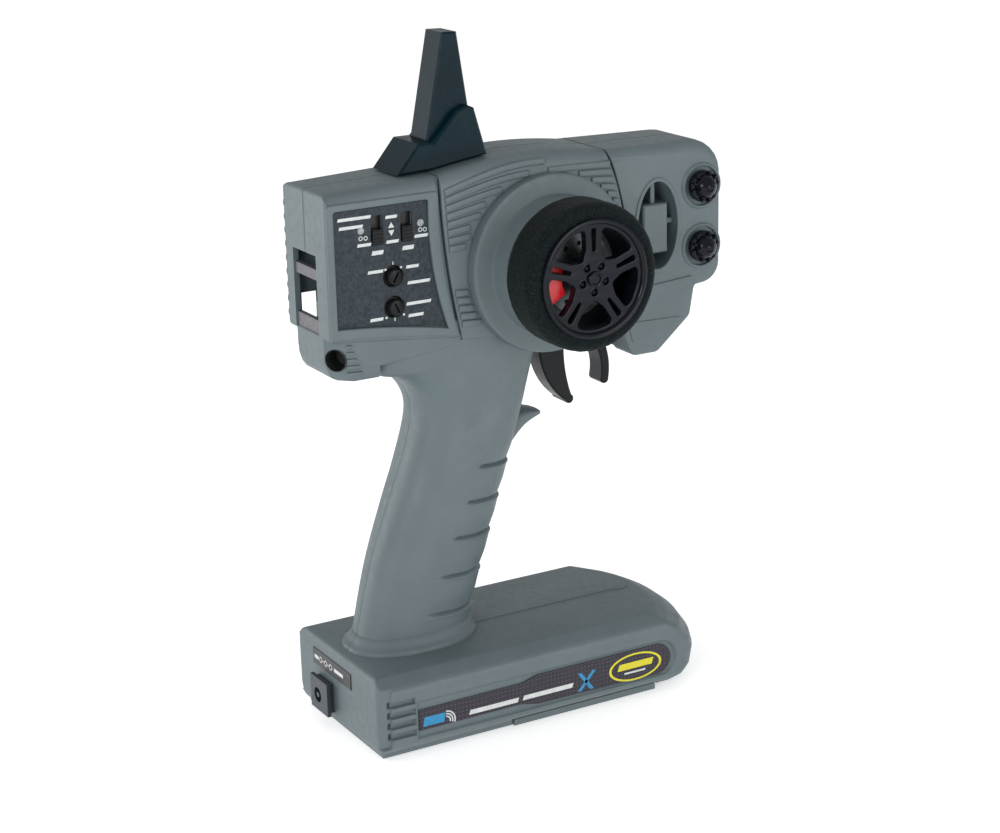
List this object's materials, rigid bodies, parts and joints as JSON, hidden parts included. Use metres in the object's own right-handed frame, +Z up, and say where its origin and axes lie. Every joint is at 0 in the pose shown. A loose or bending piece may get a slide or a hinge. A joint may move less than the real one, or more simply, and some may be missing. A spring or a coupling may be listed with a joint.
{
  "type": "radio transmitter controller",
  "caption": "Pistol-grip radio transmitter for model cars: foam-tyred steering wheel, throttle and brake trigger, trim knobs, switch panel, stub antenna and battery base.",
  "frame": {"origin": "centre of the flat underside of the base, on the middle plane", "axes": "+X forward, away from the user; +Z up; the steering wheel is on the -Y side"},
  "size_m": [0.155, 0.0817, 0.2425],
  "materials": {
    "housing": "fine matt texture, cool grey-green",
    "black_plastic": "satin black",
    "rim_gloss": "gloss black",
    "foam": "open-cell foam",
    "caliper_red": "gloss red",
    "disc_metal": "turned steel",
    "contact_metal": "plated",
    "inner_plastic": "plain moulded",
    "board": "solder mask",
    "panel": "printed film, dark slate",
    "side_label": "printed film with carbon weave",
    "lamp": "diffused lens",
    "cells": "shrink sleeve"
  },
  "bodies": {
    "housing": {"housing_right": "housing", "housing_left": "housing", "rear_case_right": "housing", "rear_case_left": "housing", "front_case_right": "housing", "front_case_left": "housing", "wheel_boss": "housing", "recess_block": "housing", "switch_guard": "housing", "base_upper": "housing", "base_lower": "housing", "antenna_base_right": "black_plastic", "antenna_base_left": "black_plastic", "antenna_mast_right": "black_plastic", "antenna_mast_left": "black_plastic", "dc_jack": "black_plastic", "battery_tray": "black_plastic", "housing_screws": "disc_metal", "base_screws": "disc_metal", "steering_spring": "disc_metal", "trigger_spring": "disc_metal", "battery_springs": "disc_metal", "battery_contacts": "contact_metal", "antenna_element": "contact_metal", "steering_pot": "inner_plastic", "throttle_pot": "inner_plastic", "trim_pots": "inner_plastic", "rate_pots": "inner_plastic", "reverse_switch_bodies": "inner_plastic", "power_switch_body": "inner_plastic", "main_board": "board", "radio_module": "board", "panel_label": "panel", "jack_label": "panel", "side_label_right": "side_label", "side_label_left": "side_label", "indicator_lamps": "lamp", "battery_cells": "cells"},
    "steering_wheel": {"steering_shaft": "disc_metal", "steering_arm": "inner_plastic", "foam_tyre": "foam", "wheel_rim": "rim_gloss", "brake_disc": "disc_metal", "brake_caliper": "caliper_red", "lug_nuts": "rim_gloss", "wheel_screw": "disc_metal", "hub_cap": "rim_gloss"},
    "trigger": {"trigger": "black_plastic", "trigger_shaft": "disc_metal"},
    "steering_trim": {"steering_trim_knob": "black_plastic"},
    "throttle_trim": {"throttle_trim_knob": "black_plastic"},
    "steering_rate": {"steering_rate_knob": "black_plastic"},
    "throttle_rate": {"throttle_rate_knob": "black_plastic"},
    "throttle_reverse": {"throttle_reverse_slider": "black_plastic"},
    "steering_reverse": {"steering_reverse_slider": "black_plastic"},
    "power_slide": {"power_slider": "black_plastic"},
    "battery_door": {"battery_door": "housing"}
  },
  "joints": [
    {"name": "steering_turn", "type": "hinge", "parent": "housing", "child": "steering_wheel", "pos_m": [0.012, -0.03, 0.1626], "axis": [0, 1, 0], "range_deg": [-38, 38], "stiffness_Nm_per_rad": 0.06},
    {"name": "trigger_pull", "type": "hinge", "parent": "housing", "child": "trigger", "pos_m": [0.032, 0, 0.14], "axis": [0, 1, 0], "range_deg": [-10, 14], "stiffness_Nm_per_rad": 0.15},
    {"name": "steering_trim_turn", "type": "hinge", "parent": "housing", "child": "steering_trim", "pos_m": [0.0758, -0.018, 0.1815], "axis": [0, 1, 0], "range_deg": [-135, 135]},
    {"name": "throttle_trim_turn", "type": "hinge", "parent": "housing", "child": "throttle_trim", "pos_m": [0.0758, -0.018, 0.1598], "axis": [0, 1, 0], "range_deg": [-135, 135]},
    {"name": "steering_rate_turn", "type": "hinge", "parent": "housing", "child": "steering_rate", "pos_m": [-0.047, -0.015, 0.1656], "axis": [0, 1, 0], "range_deg": [-120, 120]},
    {"name": "throttle_rate_turn", "type": "hinge", "parent": "housing", "child": "throttle_rate", "pos_m": [-0.047, -0.015, 0.1552], "axis": [0, 1, 0], "range_deg": [-120, 120]},
    {"name": "throttle_reverse_slide", "type": "slide", "parent": "housing", "child": "throttle_reverse", "axis": [0, 0, 1], "range_m": [0, 0.0044]},
    {"name": "steering_reverse_slide", "type": "slide", "parent": "housing", "child": "steering_reverse", "axis": [0, 0, 1], "range_m": [0, 0.0044]},
    {"name": "power_switch_slide", "type": "slide", "parent": "housing", "child": "power_slide", "axis": [0, 0, 1], "range_m": [0, 0.0035]},
    {"name": "battery_door_slide", "type": "slide", "parent": "housing", "child": "battery_door", "axis": [1, 0, 0], "range_m": [0, 0.07]}
  ]
}
